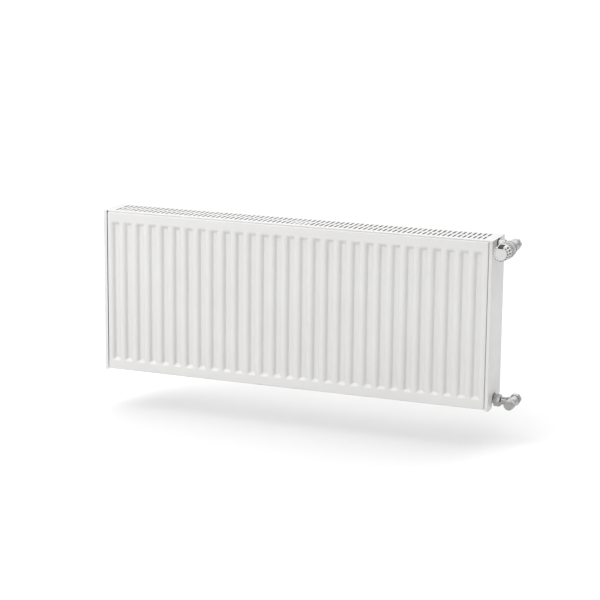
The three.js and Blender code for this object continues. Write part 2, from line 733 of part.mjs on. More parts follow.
const radiator = new THREE.Group();
radiator.add(panel('front', FRONT_Y, 1), panel('rear', REAR_Y, -1), convectors());
for (const [side, sideName] of [[-1, 'left'], [1, 'right']]) {
  radiator.add(
    portTee(`upper_${sideName}_tee`, side, UPPER_PORT_Z),
    portTee(`lower_${sideName}_tee`, side, LOWER_PORT_Z),
    sideCover(`${sideName}_side_cover`, side),
    hangingLug(`upper_${sideName}_lug`, side, 0),
    hangingLug(`lower_${sideName}_lug`, side, -LUG_SPACING),
  );
}
radiator.add(topGrille(), centreStay(), airVent(), blankingPlug());
radiator.add(unionPieces('thermostat', UPPER_PORT_Z), thermostaticValve());
radiator.add(unionPieces('lockshield', LOWER_PORT_Z), lockshieldValve());

export default radiator;
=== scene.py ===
import math

import bmesh
import bpy
from mathutils import Matrix, Vector


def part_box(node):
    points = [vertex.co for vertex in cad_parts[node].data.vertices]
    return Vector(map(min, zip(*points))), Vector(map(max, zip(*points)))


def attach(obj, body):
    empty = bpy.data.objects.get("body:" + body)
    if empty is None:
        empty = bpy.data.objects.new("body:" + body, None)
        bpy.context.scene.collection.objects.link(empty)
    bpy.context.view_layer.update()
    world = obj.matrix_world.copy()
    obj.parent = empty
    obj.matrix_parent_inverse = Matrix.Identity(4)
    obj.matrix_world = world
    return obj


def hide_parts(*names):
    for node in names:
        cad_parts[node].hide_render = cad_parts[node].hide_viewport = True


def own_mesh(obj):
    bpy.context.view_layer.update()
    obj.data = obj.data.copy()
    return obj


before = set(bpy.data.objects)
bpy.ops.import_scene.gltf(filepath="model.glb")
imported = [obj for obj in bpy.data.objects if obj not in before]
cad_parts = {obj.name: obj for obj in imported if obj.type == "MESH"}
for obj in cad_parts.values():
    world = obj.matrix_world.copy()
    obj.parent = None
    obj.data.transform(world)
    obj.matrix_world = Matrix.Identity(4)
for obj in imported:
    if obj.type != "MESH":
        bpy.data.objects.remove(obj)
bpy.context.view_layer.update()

# Lengths are millimetres unless a comment says otherwise: +X to the right, -Y towards the room, +Z up.
MM = 0.001
MERGE = 0.002  # points closer than this are one point
TURN = 2 * math.pi
FINE = 96  # sides of a round piece that shows
COARSE = 48  # sides of a small or half-hidden round piece
ARC = 5  # points on a quarter circle, less one
BEND_ANGLES = [math.pi / 2 * k / 4 for k in range(5)]  # across the bend of a folded edge


def span(node):
    """Lowest and highest corners of a CAD node, in millimetres."""
    low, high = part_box(node)
    return low / MM, high / MM


PANEL_LOW, PANEL_HIGH = span("front_panel_outer_sheet")
COVER_LOW, COVER_HIGH = span("right_side_cover")
GRILLE_LOW, GRILLE_HIGH = span("top_grille")

HEIGHT = PANEL_HIGH.z - PANEL_LOW.z
HALF_PANEL = PANEL_HIGH.x
HALF_LENGTH = COVER_HIGH.x
BOTTOM_Z = PANEL_LOW.z
FRONT_Y, REAR_Y = PANEL_LOW.y, span("rear_panel_outer_sheet")[1].y
PORT_Y = (FRONT_Y + REAR_Y) / 2
PORT_INSET = 14
UPPER_Z, LOWER_Z = PANEL_HIGH.z - PORT_INSET, BOTTOM_Z + PORT_INSET
PANEL_DEPTH = 16
PRESS_DEPTH = PANEL_HIGH.y - PANEL_LOW.y
SHEET = 1.25
GAP = 0.3
HALF_SPAN = 35 - GAP  # half the way between the inner sheets, less the gap
FLUTES = 29
PITCH = 100 / 3
SOCKET_X = HALF_LENGTH - 12  # socket faces of the port tees
THERMOSTAT_AT = (HALF_LENGTH + 34, PORT_Y, UPPER_Z)
LOCKSHIELD_AT = (HALF_LENGTH + 46, PORT_Y, LOWER_Z)

# ---- Meshes ----


def linked(name, data):
    """A new object in the scene."""
    obj = bpy.data.objects.new(name, data)
    bpy.context.scene.collection.objects.link(obj)
    return obj


def to_mesh(points, faces, closed=True):
    mesh = bpy.data.meshes.new("mesh")
    mesh.from_pydata([[c * MM for c in p] for p in points], [], faces)
    bm = bmesh.new()
    bm.from_mesh(mesh)
    bmesh.ops.remove_doubles(bm, verts=bm.verts, dist=MERGE * MM)
    bmesh.ops.dissolve_degenerate(bm, dist=MERGE * MM, edges=bm.edges)
    if closed:
        bmesh.ops.recalc_face_normals(bm, faces=bm.faces)
    bm.to_mesh(mesh)
    bm.free()
    return mesh


def skin(faces, a, b, count):
    """Joins two loops of points, their first points numbered a and b."""
    for i in range(count):
        j = (i + 1) % count
        faces.append((a + i, a + j, b + j, b + i))


def swept(loops, ring=False):
    """Closed loops with equal numbers of points, skinned in order; the ends are capped, or meet in a ring."""
    count = len(loops[0])
    points = [p for loop in loops for p in loop]
    faces = []
    for k in range(len(loops) if ring else len(loops) - 1):
        skin(faces, k * count, (k + 1) % len(loops) * count, count)
    if not ring:
        faces.append(tuple(range(count)))
        faces.append(tuple(range(len(points) - count, len(points))))
    return to_mesh(points, faces)


def corner_arc(before, corner, after, radius, steps):
    """Points round one corner of an outline."""
    p = Vector(corner)
    back, ahead = Vector(before) - p, Vector(after) - p
    reach = 0
    if back.length > MERGE and ahead.length > MERGE:
        half = back.angle(ahead) / 2
        reach = min(radius / max(math.tan(half), 0.05), 0.45 * back.length, 0.45 * ahead.length)
    start, end = p + back.normalized() * reach, p + ahead.normalized() * reach
    shares = [s / steps for s in range(steps + 1)]
    return [tuple(start * (1 - t) ** 2 + p * 2 * t * (1 - t) + end * t * t) for t in shares]


def rounded(outline, radius, steps=3):
    """A closed outline with its corners rounded. Corners on the axis (first value 0) stay."""
    made = []
    for i, corner in enumerate(outline):
        if corner[0] == 0:
            made.append(corner)
        else:
            made += corner_arc(outline[i - 1], corner, outline[(i + 1) % len(outline)], radius, steps)
    return made


def bent(line, radius, steps=4):
    """An open line of points with its inner corners rounded."""
    made = [line[0]]
    for before, corner, after in zip(line, line[1:], line[2:]):
        made += corner_arc(before, corner, after, radius, steps)
    return made + [line[-1]]


def quarter(centre, radius, start):
    """Points on a quarter circle, anticlockwise from the start angle in degrees."""
    angles = [math.radians(start + 90 * k / ARC) for k in range(ARC + 1)]
    return [(centre[0] + radius * math.cos(a), centre[1] + radius * math.sin(a)) for a in angles]


def arcs(right, left, high, low, radius):
    """A closed loop of four quarter circles, their centres at the corners of a rectangle."""
    centres = ((right, high), (left, high), (left, low), (right, low))
    return [p for k, centre in enumerate(centres) for p in quarter(centre, radius, 90 * k)]


def fan(faces, corner, loop):
    """Joins the four corners of a rectangle to a loop of four quarter circles inside it."""
    per = ARC + 1
    for c in range(4):
        for i in range(ARC):
            faces.append((corner + c, loop + c * per + i, loop + c * per + i + 1))
        following = (c + 1) % 4
        faces.append((corner + c, loop + c * per + ARC, loop + following * per, corner + following))


def walls(points, faces, loops):
    """Adds loops of points, joined in order. Gives the numbers of the first points of the first and last."""
    first, count = len(points), len(loops[0])
    for loop in loops:
        points += loop
    last = first + (len(loops) - 1) * count
    for a in range(first, last, count):
        for i in range(count):
            j = (i + 1) % count
            faces.append((a + i, a + count + i, a + count + j, a + j))
    return first, last


def on_axis(axis, radius, along, angle, at):
    """A point at that radius and angle round an axis through `at`. Angle 90 degrees is up."""
    across, up = radius * math.cos(angle), radius * math.sin(angle)
    local = (along, across, up) if axis == "x" else (across, along, up)
    return tuple(a + b for a, b in zip(local, at))


def spun(section, axis, at, sides=FINE, angles=None):
    """section is a closed outline of (radius, along), or a function of the angle that gives one."""
    section_at = section if callable(section) else lambda angle: section
    angles = angles or [TURN * k / sides for k in range(sides)]
    return swept([[on_axis(axis, r, s, a, at) for r, s in section_at(a)] for a in angles], ring=True)


def rod(radius, start, end):
    """Outline of a plain round bar."""
    return [(0, start), (radius, start), (radius, end), (0, end)]


CHAMFER = math.radians(28)
HEX_FACE = 0.965  # a hexagon's chamfered face against its width across flats
HEX_CORNER = 0.985  # its rounded corners against sharp ones


def hexagon(flats, angle):
    """Radius of a hexagon at an angle, its flats facing up and down and its corners a little rounded."""
    sixth = TURN / 6
    off = (angle - sixth / 2) % sixth
    off = min(off, sixth - off)
    corner = flats / 2 / math.cos(math.pi / 6)
    return min(flats / 2 / math.cos(off), corner * HEX_CORNER)


def hex_rim(flats, start, end, angle):
    """Outline points of a hexagonal bar's outside from start to end, chamfered at both ends."""
    radius = hexagon(flats, angle)
    face = flats / 2 * HEX_FACE
    drop = (radius - face) * math.tan(CHAMFER) * (1 if end > start else -1)
    return [(face, start), (radius, start + drop), (radius, end - drop), (face, end)]


def thread(radius, depth, pitch, start, end):
    """Zigzag outline of a thread from start to end."""
    turns = max(2, round(abs(end - start) / pitch))
    step = (end - start) / turns
    points = [(radius - depth, start)]
    for k in range(turns):
        points += [(radius, start + (k + 0.5) * step), (radius - depth, start + (k + 1) * step)]
    return points


def evaluated(mesh, *modifiers):
    """The mesh with modifiers applied, each given as (type, {setting: value})."""
    obj = linked("unfinished", mesh)
    for kind, settings in modifiers:
        modifier = obj.modifiers.new(kind, kind)
        for key, value in settings.items():
            setattr(modifier, key, value)
    graph = bpy.context.evaluated_depsgraph_get()
    made = bpy.data.meshes.new_from_object(obj.evaluated_get(graph))
    bpy.data.objects.remove(obj)
    return made


def boolean(mesh, operation, others):
    tools = [linked("tool", other) for other in others]
    steps = [("BOOLEAN", {"operation": operation, "object": tool, "solver": "EXACT"}) for tool in tools]
    made = evaluated(mesh, *steps)
    for tool in tools:
        bpy.data.objects.remove(tool)
    return made


def cut(mesh, *others):
    return boolean(mesh, "DIFFERENCE", others)


def united(mesh, *others):
    return boolean(mesh, "UNION", others)


def softened(mesh, width, segments=2, angle=35):
    """Every edge sharper than the angle gets a small rounded bevel."""
    settings = {
        "width": width * MM,
        "segments": segments,
        "limit_method": "ANGLE",
        "angle_limit": math.radians(angle),
        "miter_outer": "MITER_ARC",
        "use_clamp_overlap": True,
    }
    return evaluated(mesh, ("BEVEL", settings))


def thickened(mesh, thickness):
    """A surface made into a sheet, towards its inner side."""
    settings = {"thickness": thickness * MM, "offset": -1, "use_even_offset": True}
    return evaluated(mesh, ("SOLIDIFY", settings))


def block(low, high):
    """A box, for cutting with."""
    flat = ((low[0], low[1]), (high[0], low[1]), (high[0], high[1]), (low[0], high[1]))
    return swept([[(x, y, z) for x, y in flat] for z in (low[2], high[2])])


def folded(line, thickness, low, high, place):
    """A sheet bent along a line of (u, v) points and drawn out from low to high along w."""
    points, faces = [], []
    final = len(line) - 1
    for i, p in enumerate(line):
        ahead = Vector(line[min(i + 1, final)]) - Vector(p)
        behind = Vector(p) - Vector(line[max(i - 1, 0)])
        direction = (ahead.normalized() + behind.normalized()).normalized()
        if i in (0, final):
            direction = (ahead + behind).normalized()
        half = max(0.7, direction.dot((behind if i else ahead).normalized()))
        normal = Vector((-direction.y, direction.x)) * thickness / 2 / half
        for side in (1, -1):
            for w in (low, high):
                points.append(place(p[0] + side * normal.x, p[1] + side * normal.y, w))
    for i in range(final):
        a, b = 4 * i, 4 * i + 4
        for c, d in ((0, 1), (1, 3), (3, 2), (2, 0)):
            faces.append((a + c, a + d, b + d, b + c))
    last = 4 * final
    faces += [(0, 1, 3, 2), (last, last + 1, last + 3, last + 2)]
    return to_mesh(points, faces)


# ---- Materials ----


class Nodes:
    """Short calls for building one node material."""

    def __init__(self, owner):
        self.owner = owner
        self.owner.use_nodes = True
        self.tree = self.owner.node_tree
        self.tree.nodes.clear()

    def add(self, kind, inputs=None, **settings):
        """A new node. Each input is another node's output to link, or a plain value."""
        node = self.tree.nodes.new(kind)
        for key, value in settings.items():
            setattr(node, key, value)
        for key, value in (inputs or {}).items():
            if isinstance(value, bpy.types.NodeSocket):
                self.tree.links.new(value, node.inputs[key])
            else:
                node.inputs[key].default_value = value
        return node

    def noise(self, vector, scale, detail=3.0, roughness=0.5):
        node = self.add("ShaderNodeTexNoise", {
            "Vector": vector, "Scale": scale, "Detail": detail, "Roughness": roughness})
        return node.outputs["Fac"]

    def spread(self, value, low, high, to_low, to_high, smooth=False):
        kind = "SMOOTHSTEP" if smooth else "LINEAR"
        node = self.add("ShaderNodeMapRange", {
            "Value": value, "From Min": low, "From Max": high, "To Min": to_low, "To Max": to_high,
        }, interpolation_type=kind)
        return node.outputs["Result"]

    def mixed(self, factor, a, b):
        return self.add("ShaderNodeMix", {0: factor, 6: a, 7: b}, data_type="RGBA").outputs[2]

    def maths(self, operation, a, b):
        return self.add("ShaderNodeMath", {0: a, 1: b}, operation=operation).outputs[0]

    def dot(self, a, b):
        return self.add("ShaderNodeVectorMath", {0: a, 1: b}, operation="DOT_PRODUCT").outputs["Value"]


def grey(value, warmth=0.0):
    return (value * (1 + warmth), value, value * (1 - warmth), 1)


def worn(name, colour, second, edge_colour, edge_share, edge_width, rough, grain, patches=6.0,
         stretch=(1, 1, 1), fixed=None):
    """A worn, slightly uneven material. rough is (low, high); grain is (scale per metre, depth in mm,
    strength). Edges within edge_width mm of a corner turn towards edge_colour where they rub."""
    n = Nodes(bpy.data.materials.new(name))
    coordinates = n.add("ShaderNodeTexCoord").outputs["Object"]
    mapped = n.add("ShaderNodeMapping", {"Vector": coordinates, "Scale": stretch}).outputs["Vector"]
    patch = n.noise(coordinates, patches, 4.0)
    tone = n.mixed(n.spread(patch, 0.3, 0.7, 0.0, 1.0), colour, second)
    rim = n.add("ShaderNodeBevel", {"Radius": edge_width * MM}, samples=4).outputs["Normal"]
    true = n.add("ShaderNodeNewGeometry").outputs["Normal"]
    at_edge = n.spread(n.dot(rim, true), 0.985, 0.9, 0.0, 1.0)
    patchy = n.spread(n.noise(coordinates, patches * 25, 2.0), 0.35, 0.65, 0.35, 1.0)
    edge = n.maths("MULTIPLY", n.maths("MULTIPLY", at_edge, patchy), edge_share)
    shade = n.mixed(edge, tone, edge_colour)
    smudge = n.noise(coordinates, patches * 4, 5.0, 0.6)
    roughness = n.spread(smudge, 0.3, 0.7, rough[0], rough[1])
    height = n.noise(mapped, grain[0], 2.0)
    bump = n.add("ShaderNodeBump", {"Height": height, "Distance": grain[1] * MM, "Strength": grain[2]})
    shader = n.add("ShaderNodeBsdfPrincipled", {
        "Base Color": shade, "Roughness": roughness, "Normal": bump.outputs["Normal"], **(fixed or {})})
    n.add("ShaderNodeOutputMaterial", {"Surface": shader.outputs["BSDF"]})
    return n.owner


METAL = {"Metallic": 1.0}
MOULDED = {"Subsurface Weight": 0.03}

MATERIALS = {
    "white_enamel": worn(
        "powder_enamel", grey(0.622, 0.006), grey(0.598, 0.010), grey(0.57, 0.012), 0.5, 1.2,
        (0.30, 0.40), (900.0, 0.02, 0.25), fixed={"Coat Weight": 0.15, "Coat Roughness": 0.12}),
    # Painted shade: a grey copy of the white enamel for the inner sheets and the fins. They are white too,
    # but lie in shade inside the radiator.
    "painted_shade_enamel": worn(
        "grey_painted_shade_enamel", grey(0.40, 0.006), grey(0.36, 0.012), grey(0.34, 0.012), 0.5, 1.2,
        (0.40, 0.52), (900.0, 0.02, 0.35), fixed={"Coat Weight": 0.05, "Coat Roughness": 0.2}),
    "nickel_plate": worn(
        "satin_nickel", grey(0.40, 0.015), grey(0.30, 0.02), grey(0.72, 0.02), 0.8, 0.7,
        (0.20, 0.34), (700.0, 0.03, 0.3), patches=30.0, fixed=METAL),
    "brass": worn(
        "turned_brass", (0.60, 0.40, 0.16, 1), (0.48, 0.30, 0.11, 1), (0.78, 0.58, 0.30, 1), 0.7, 0.4,
        (0.25, 0.40), (900.0, 0.03, 0.3), patches=40.0, stretch=(1, 6, 1), fixed=METAL),
    "spring_steel": worn(
        "drawn_steel", grey(0.50), grey(0.38), grey(0.70), 0.6, 0.2,
        (0.25, 0.38), (1500.0, 0.02, 0.3), patches=60.0, fixed=METAL),
    "white_plastic": worn(
        "moulded_white", grey(0.655, 0.004), grey(0.625, 0.010), grey(0.70), 0.5, 0.4,
        (0.34, 0.46), (2200.0, 0.02, 0.35), patches=25.0, fixed=MOULDED),
    # Painted shade: a darker copy of the moulded white for the tip cap, whose face turns to the room and is
    # less lit. Its rougher finish is a real matt.
    "painted_shade_matt_plastic": worn(
        "matt_white_with_painted_shade", grey(0.575, 0.004), grey(0.55, 0.010), grey(0.64), 0.5, 0.4,
        (0.42, 0.55), (2200.0, 0.02, 0.4), patches=25.0, fixed=MOULDED),
    "dark_window": worn(
        "smoked_window", grey(0.012), grey(0.02), grey(0.06), 0.6, 0.3,
        (0.16, 0.24), (1800.0, 0.005, 0.2), patches=80.0, fixed={"Specular IOR Level": 0.12}),
    # Near-black: painted shade on the guide tube and the sensor, seen through the grip's vents and slots,
    # where the inside only lies in shade. It is also the real black of the setting mark.
    "sensor_plastic": worn(
        "black_painted_shade_and_mark", grey(0.035), grey(0.05), grey(0.10), 0.5, 0.3,
        (0.4, 0.55), (2000.0, 0.02, 0.4), patches=60.0),
    "rubber": worn(
        "seal_rubber", grey(0.018), grey(0.03), grey(0.06), 0.6, 0.3,
        (0.6, 0.8), (2500.0, 0.03, 0.5), patches=90.0),
}


def piece(name, mesh, nodes, slot, body="radiator", sharp=40, look=None, place=None):
    """Puts a finished mesh in the scene in place of CAD nodes. look is a material other than the slot's."""
    mesh.name = name
    obj = linked(name, mesh)
    if place:
        obj.matrix_world = place
    mesh.materials.clear()
    mesh.materials.append(MATERIALS[look or slot])
    for polygon in mesh.polygons:
        polygon.use_smooth = True
        polygon.material_index = 0
    mesh.set_sharp_from_angle(angle=math.radians(sharp))
    normals = obj.modifiers.new("normals", "WEIGHTED_NORMAL")
    normals.keep_sharp = True
    normals.weight = 80
    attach(obj, body)
    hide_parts(*nodes)
    return obj


# ---- Pressed panel sheets ----

FLUTE_HALF = 11.3
FLUTE_SLOPE = 6.3
FLUTE_DEPTH = 6.6
FLUTE_MARGIN = 24
FLUTE_SHOULDER = 9.5  # radius of the bend at the face
FLUTE_CREASE = 1.6  # radius of the bend at the floor
FLUTE_BEND_STEPS = 6
FLUTE_CORNER, FLUTE_CORNER_LEAST = 5.5, 1.6  # radius of its corners at the face, and the least further in
EDGE_RADIUS = 3


def flute_loop(x, inset, depth):
    radius = max(FLUTE_CORNER - inset, FLUTE_CORNER_LEAST)
    right, left = x + FLUTE_HALF - inset - radius, x - FLUTE_HALF + inset + radius
    high, low = HEIGHT - FLUTE_MARGIN - inset - radius, FLUTE_MARGIN + inset + radius
    return [(px, depth, pz) for px, pz in arcs(right, left, high, low, radius)]


def slope_profile():
    """(inset, depth) points down a flute's side, through both bends."""
    steep = math.atan2(FLUTE_DEPTH, FLUTE_SLOPE)
    upper_reach, lower_reach = (radius * math.tan(steep / 2) for radius in (FLUTE_SHOULDER, FLUTE_CREASE))
    upper, lower = [], []
    for k in range(FLUTE_BEND_STEPS + 1):
        angle = steep * k / FLUTE_BEND_STEPS
        upper.append((
            -upper_reach + FLUTE_SHOULDER * math.sin(angle), FLUTE_SHOULDER * (1 - math.cos(angle))))
        lower.append((
            FLUTE_SLOPE + lower_reach - FLUTE_CREASE * math.sin(angle),
            FLUTE_DEPTH - FLUTE_CREASE * (1 - math.cos(angle))))
    return upper + lower[::-1]


def flute_cell(points, faces, x):
    """One flute with the flat land round it."""
    half = PITCH / 2
    base = len(points)
    low, high = EDGE_RADIUS, HEIGHT - EDGE_RADIUS
    points += [(x + half, 0, high), (x - half, 0, high), (x - half, 0, low), (x + half, 0, low)]
    sides = []
    loops = [flute_loop(x, inset, depth) for inset, depth in slope_profile()]
    first, last = walls(points, sides, loops)
    fan(faces, base, first)
    faces += sides
    faces.append(tuple(range(last, len(points))))


def border_loop(inset, depth, xs):
    """The sheet's outline at an inset from its edges."""
    radius = EDGE_RADIUS - inset
    left, right = -HALF_PANEL + EDGE_RADIUS, HALF_PANEL - EDGE_RADIUS
    low, high = EDGE_RADIUS, HEIGHT - EDGE_RADIUS
    outline = [(x, HEIGHT - inset) for x in reversed(xs)]
    outline += quarter((left, high), radius, 90) + quarter((left, low), radius, 180)
    outline += [(x, inset) for x in xs]
    outline += quarter((right, low), radius, 270) + quarter((right, high), radius, 0)
    return [(x, depth, z) for x, z in outline]


def pressed_sheet():
    """One pressed sheet, outer face at y = 0 towards -Y, its rim inwards, z from the bottom edge."""
    points, faces = [], []
    half = (FLUTES - 1) // 2
    for k in range(-half, half + 1):
        flute_cell(points, faces, k * PITCH)
    inner = (half + 0.5) * PITCH
    outer = HALF_PANEL - EDGE_RADIUS
    low, high = EDGE_RADIUS, HEIGHT - EDGE_RADIUS
    for near_x, far_x in ((inner, outer), (-outer, -inner)):
        base = len(points)
        points += [(near_x, 0, low), (far_x, 0, low), (far_x, 0, high), (near_x, 0, high)]
        faces.append((base, base + 1, base + 2, base + 3))
    xs = [-outer] + [(k - half - 0.5) * PITCH for k in range(FLUTES + 1)] + [outer]
    loops = [
        border_loop(EDGE_RADIUS * (1 - math.sin(a)), EDGE_RADIUS * (1 - math.cos(a)), xs)
        for a in BEND_ANGLES]
    loops.append(border_loop(0, PRESS_DEPTH, xs))
    base, count = len(points), len(loops[0])
    for k, loop in enumerate(loops):
        points += loop
        if k:
            skin(faces, base + (k - 1) * count, base + k * count, count)
    surface = to_mesh(points, faces)
    outward = sum(p.normal.y * p.area for p in surface.polygons if abs(p.normal.y) > 0.9)
    if outward > 0:
        surface.flip_normals()
    return thickened(surface, SHEET)


def panels():
    # The inner sheets take the grey copy of the enamel: painted shade.
    looks = {"outer": "white_enamel", "inner": "painted_shade_enamel"}
    sheets = {layer: pressed_sheet() for layer in looks}
    for side, outer_y, facing in (("front", FRONT_Y, 1), ("rear", REAR_Y, -1)):
        inner_y = outer_y + facing * PANEL_DEPTH
        for layer, y, inward in (("outer", outer_y, facing), ("inner", inner_y, -facing)):
            turned = Matrix.Rotation(0.0 if inward > 0 else math.pi, 4, "Z")
            place = Matrix.Translation(Vector((0, y, BOTTOM_Z)) * MM) @ turned
            piece(f"{side}_panel_{layer}_pressing", sheets[layer], [f"{side}_panel_{layer}_sheet"],
                  "white_enamel", look=looks[layer], place=place)


# ---- Convectors, tees, stay and lugs ----

FIN_SHEET = 0.8
FIN_FLAT = 8
FIN_DEPTH = 33.6
FIN_MARGIN = 30
TEE_REACH = 21.3
TEE_INSET = 33.3
LUG_X = 400
LUG_SPACING = 240


def convectors():
    half = (FLUTES - 1) // 2
    crest, trough = GAP + FIN_SHEET / 2, FIN_DEPTH - FIN_SHEET / 2
    line = []
    for k in range(-half, half + 1):
        x = k * PITCH
        line += [(x - FIN_FLAT / 2, trough), (x + FIN_FLAT / 2, trough)]
        if k < half:
            x += PITCH / 2
            line += [(x - FIN_FLAT / 2, crest), (x + FIN_FLAT / 2, crest)]
    smooth = bent(line, 2.0, 3)
    low, high = BOTTOM_Z + FIN_MARGIN, BOTTOM_Z + HEIGHT - FIN_MARGIN
    for side, y, facing in (("front", FRONT_Y + PANEL_DEPTH, 1), ("rear", REAR_Y - PANEL_DEPTH, -1)):
        mesh = folded(smooth, FIN_SHEET, low, high, lambda u, v, w: (u * facing, y + v * facing, w))
        # The fins take the grey copy of the enamel: painted shade.
        piece(f"{side}_fins", mesh, [f"{side}_convector"], "white_enamel", look="painted_shade_enamel")


def tees():
    for side, name in ((-1, "left"), (1, "right")):
        end = side * TEE_REACH
        for level, z in (("upper", UPPER_Z), ("lower", LOWER_Z)):
            at = (side * (HALF_LENGTH - TEE_INSET), PORT_Y, z)
            cross = spun(rounded(rod(11, -HALF_SPAN, HALF_SPAN), 0.8), "y", at, COARSE)
            flared = [(0, 0), (12.4, 0), (13.5, side * 6), (13.5, end), (0, end)]
            boss = spun(rounded(flared, 0.8), "x", at, COARSE)
            hole = spun(rod(7.5, -40, 40), "y", at, COARSE)
            grooves = thread(10.75, -0.6, 1.8, 0, end - side)
            mouth = [(11.8, end), (11.8, end + side), (0, end + side)]
            socket = spun([(0, 0)] + grooves + mouth, "x", at, COARSE)
            piece(f"{level}_{name}_port", cut(united(cross, boss), hole, socket), [f"{level}_{name}_tee"],
                  "white_enamel")


def centre_stay():
    top, thick, lip, half_width = PANEL_HIGH.z - 2.5, 1.5, 8, 21
    mid = thick / 2
    end = HALF_SPAN - mid
    line = bent([(-end, top - lip), (-end, top - mid), (end, top - mid), (end, top - lip)], 2.2)
    strap = folded(line, thick, -half_width, half_width, lambda u, v, w: (w, PORT_Y + u, v))
    rib = folded([(-26, top + 0.1), (26, top + 0.1)], 1.1, -3, 3, lambda u, v, w: (w, PORT_Y + u, v))
    piece("stay_strap", softened(united(strap, softened(rib, 0.5)), 0.3), ["centre_stay"], "white_enamel")


def lugs():
    thick, deep, outer, ear = 2, 8.7, 12.5, 21.5
    below, above, inset, weld_x = 40, 2, 0.6, 17.6
    mid = thick / 2
    line = bent([
        (-ear, -deep + mid), (-outer + mid, -deep + mid), (-outer + mid, -mid),
        (outer - mid, -mid), (outer - mid, -deep + mid), (ear, -deep + mid)], 2.0)
    weld = rounded([(0, -deep + 1), (2.2, -deep + 1), (1.6, -deep + 2.6), (0, -deep + 2.8)], 0.3)
    for side, name in ((-1, "left"), (1, "right")):
        x = side * LUG_X
        for level, z in (("upper", 0), ("lower", -LUG_SPACING)):
            hat = folded(line, thick, z - below, z + above, lambda u, v, w: (u + x, v, w))
            shelf = block((x - outer + inset, -deep, z), (x + outer - inset, -0.4, z + above))
            places = [(x + s * weld_x, 0, z + dz) for s in (-1, 1) for dz in (-9, -29)]
            mesh = united(united(hat, shelf), *[spun(weld, "y", at, 20) for at in places])
            piece(f"{level}_{name}_hanging_lug", softened(mesh, 0.35), [f"{level}_{name}_lug"],
                  "white_enamel")


# ---- Top grille and side covers ----

GRILLE_SHEET = 1
GRILLE_BEND = 2.0
SLOT_COLUMNS = 78
SLOT_PITCH = 12.26
SLOT_HALF_WIDTH = 2.5
SLOT_HALF_LENGTH = 17
SLOT_WALL = ((0.55, 0), (0.25, -0.08), (0.05, -0.3), (0, -0.55), (0, -GRILLE_SHEET))  # (growth, z)
ROW_Y = 19.5
ROW_HALF = 20
COVER_STRIP = 8.5
COVER_SHEET = 1
COVER_BEND = 1.9
PORT_HOLE = 16.5


def slot_cell(points, faces, x, y, y_low, y_high):
    """Grille sheet round one slot, both faces and the rolled wall of the slot."""
    half = SLOT_PITCH / 2
    straight = SLOT_HALF_LENGTH - SLOT_HALF_WIDTH
    base = len(points)
    for z in (0, -GRILLE_SHEET):
        points += [
            (x + half, y_high, z), (x - half, y_high, z), (x - half, y_low, z), (x + half, y_low, z)]
    loops = []
    for growth, z in SLOT_WALL:
        outline = arcs(x, x, y + straight, y - straight, SLOT_HALF_WIDTH + growth)
        loops.append([(px, py, z) for px, py in outline])
    sides = []
    first, last = walls(points, sides, loops)
    fan(faces, base, first)
    fan(faces, base + 4, last)
    faces += sides


def grille():
    half_x, half_y = GRILLE_HIGH.x, (GRILLE_HIGH.y - GRILLE_LOW.y) / 2
    drop = GRILLE_LOW.z - GRILLE_HIGH.z
    block_x = SLOT_COLUMNS * SLOT_PITCH / 2
    edge = ROW_Y + ROW_HALF
    points, faces = [], []
    for column in range(SLOT_COLUMNS):
        x = (column - (SLOT_COLUMNS - 1) / 2) * SLOT_PITCH
        slot_cell(points, faces, x, ROW_Y, 0, edge)
        slot_cell(points, faces, x, -ROW_Y, -ROW_Y - ROW_HALF, 0)
    columns = [-half_x] + [(k - SLOT_COLUMNS / 2) * SLOT_PITCH for k in range(SLOT_COLUMNS + 1)] + [half_x]
    outside, inside = (
        [(half_y - GRILLE_BEND + r * math.sin(a), -GRILLE_BEND + r * math.cos(a)) for a in BEND_ANGLES]
        for r in (GRILLE_BEND, GRILLE_BEND - GRILLE_SHEET))
    section = [(edge, 0)] + outside + [(half_y, drop), (half_y - GRILLE_SHEET, drop)]
    section += inside[::-1] + [(edge, -GRILLE_SHEET)]
    per = len(section)
    for side in (1, -1):  # the long folded edges
        base = len(points)
        for x in columns:
            points += [(x, side * y, z) for y, z in section]
        for a in range(base, base + (len(columns) - 1) * per, per):
            for i in range(per - 1):
                faces.append((a + i, a + i + 1, a + per + i + 1, a + per + i))
        for a in (base, base + (len(columns) - 1) * per):
            faces.append(tuple(range(a, a + per)))
    for side in (1, -1):  # the plain ends
        base = len(points)
        for x in (side * block_x, side * half_x):
            points += [(x, y, z) for z in (0, -GRILLE_SHEET) for y in (-edge, 0, edge)]
        for a, b in ((0, 1), (1, 2), (3, 4), (4, 5)):
            faces.append((base + a, base + b, base + 6 + b, base + 6 + a))
        faces += [(base + 6, base + 7, base + 10, base + 9), (base + 7, base + 8, base + 11, base + 10)]
    at = Vector((0, PORT_Y, GRILLE_HIGH.z))
    mesh = to_mesh([tuple(Vector(p) + at) for p in points], faces)
    piece("grille_sheet", mesh, ["top_grille"], "white_enamel", "grille")


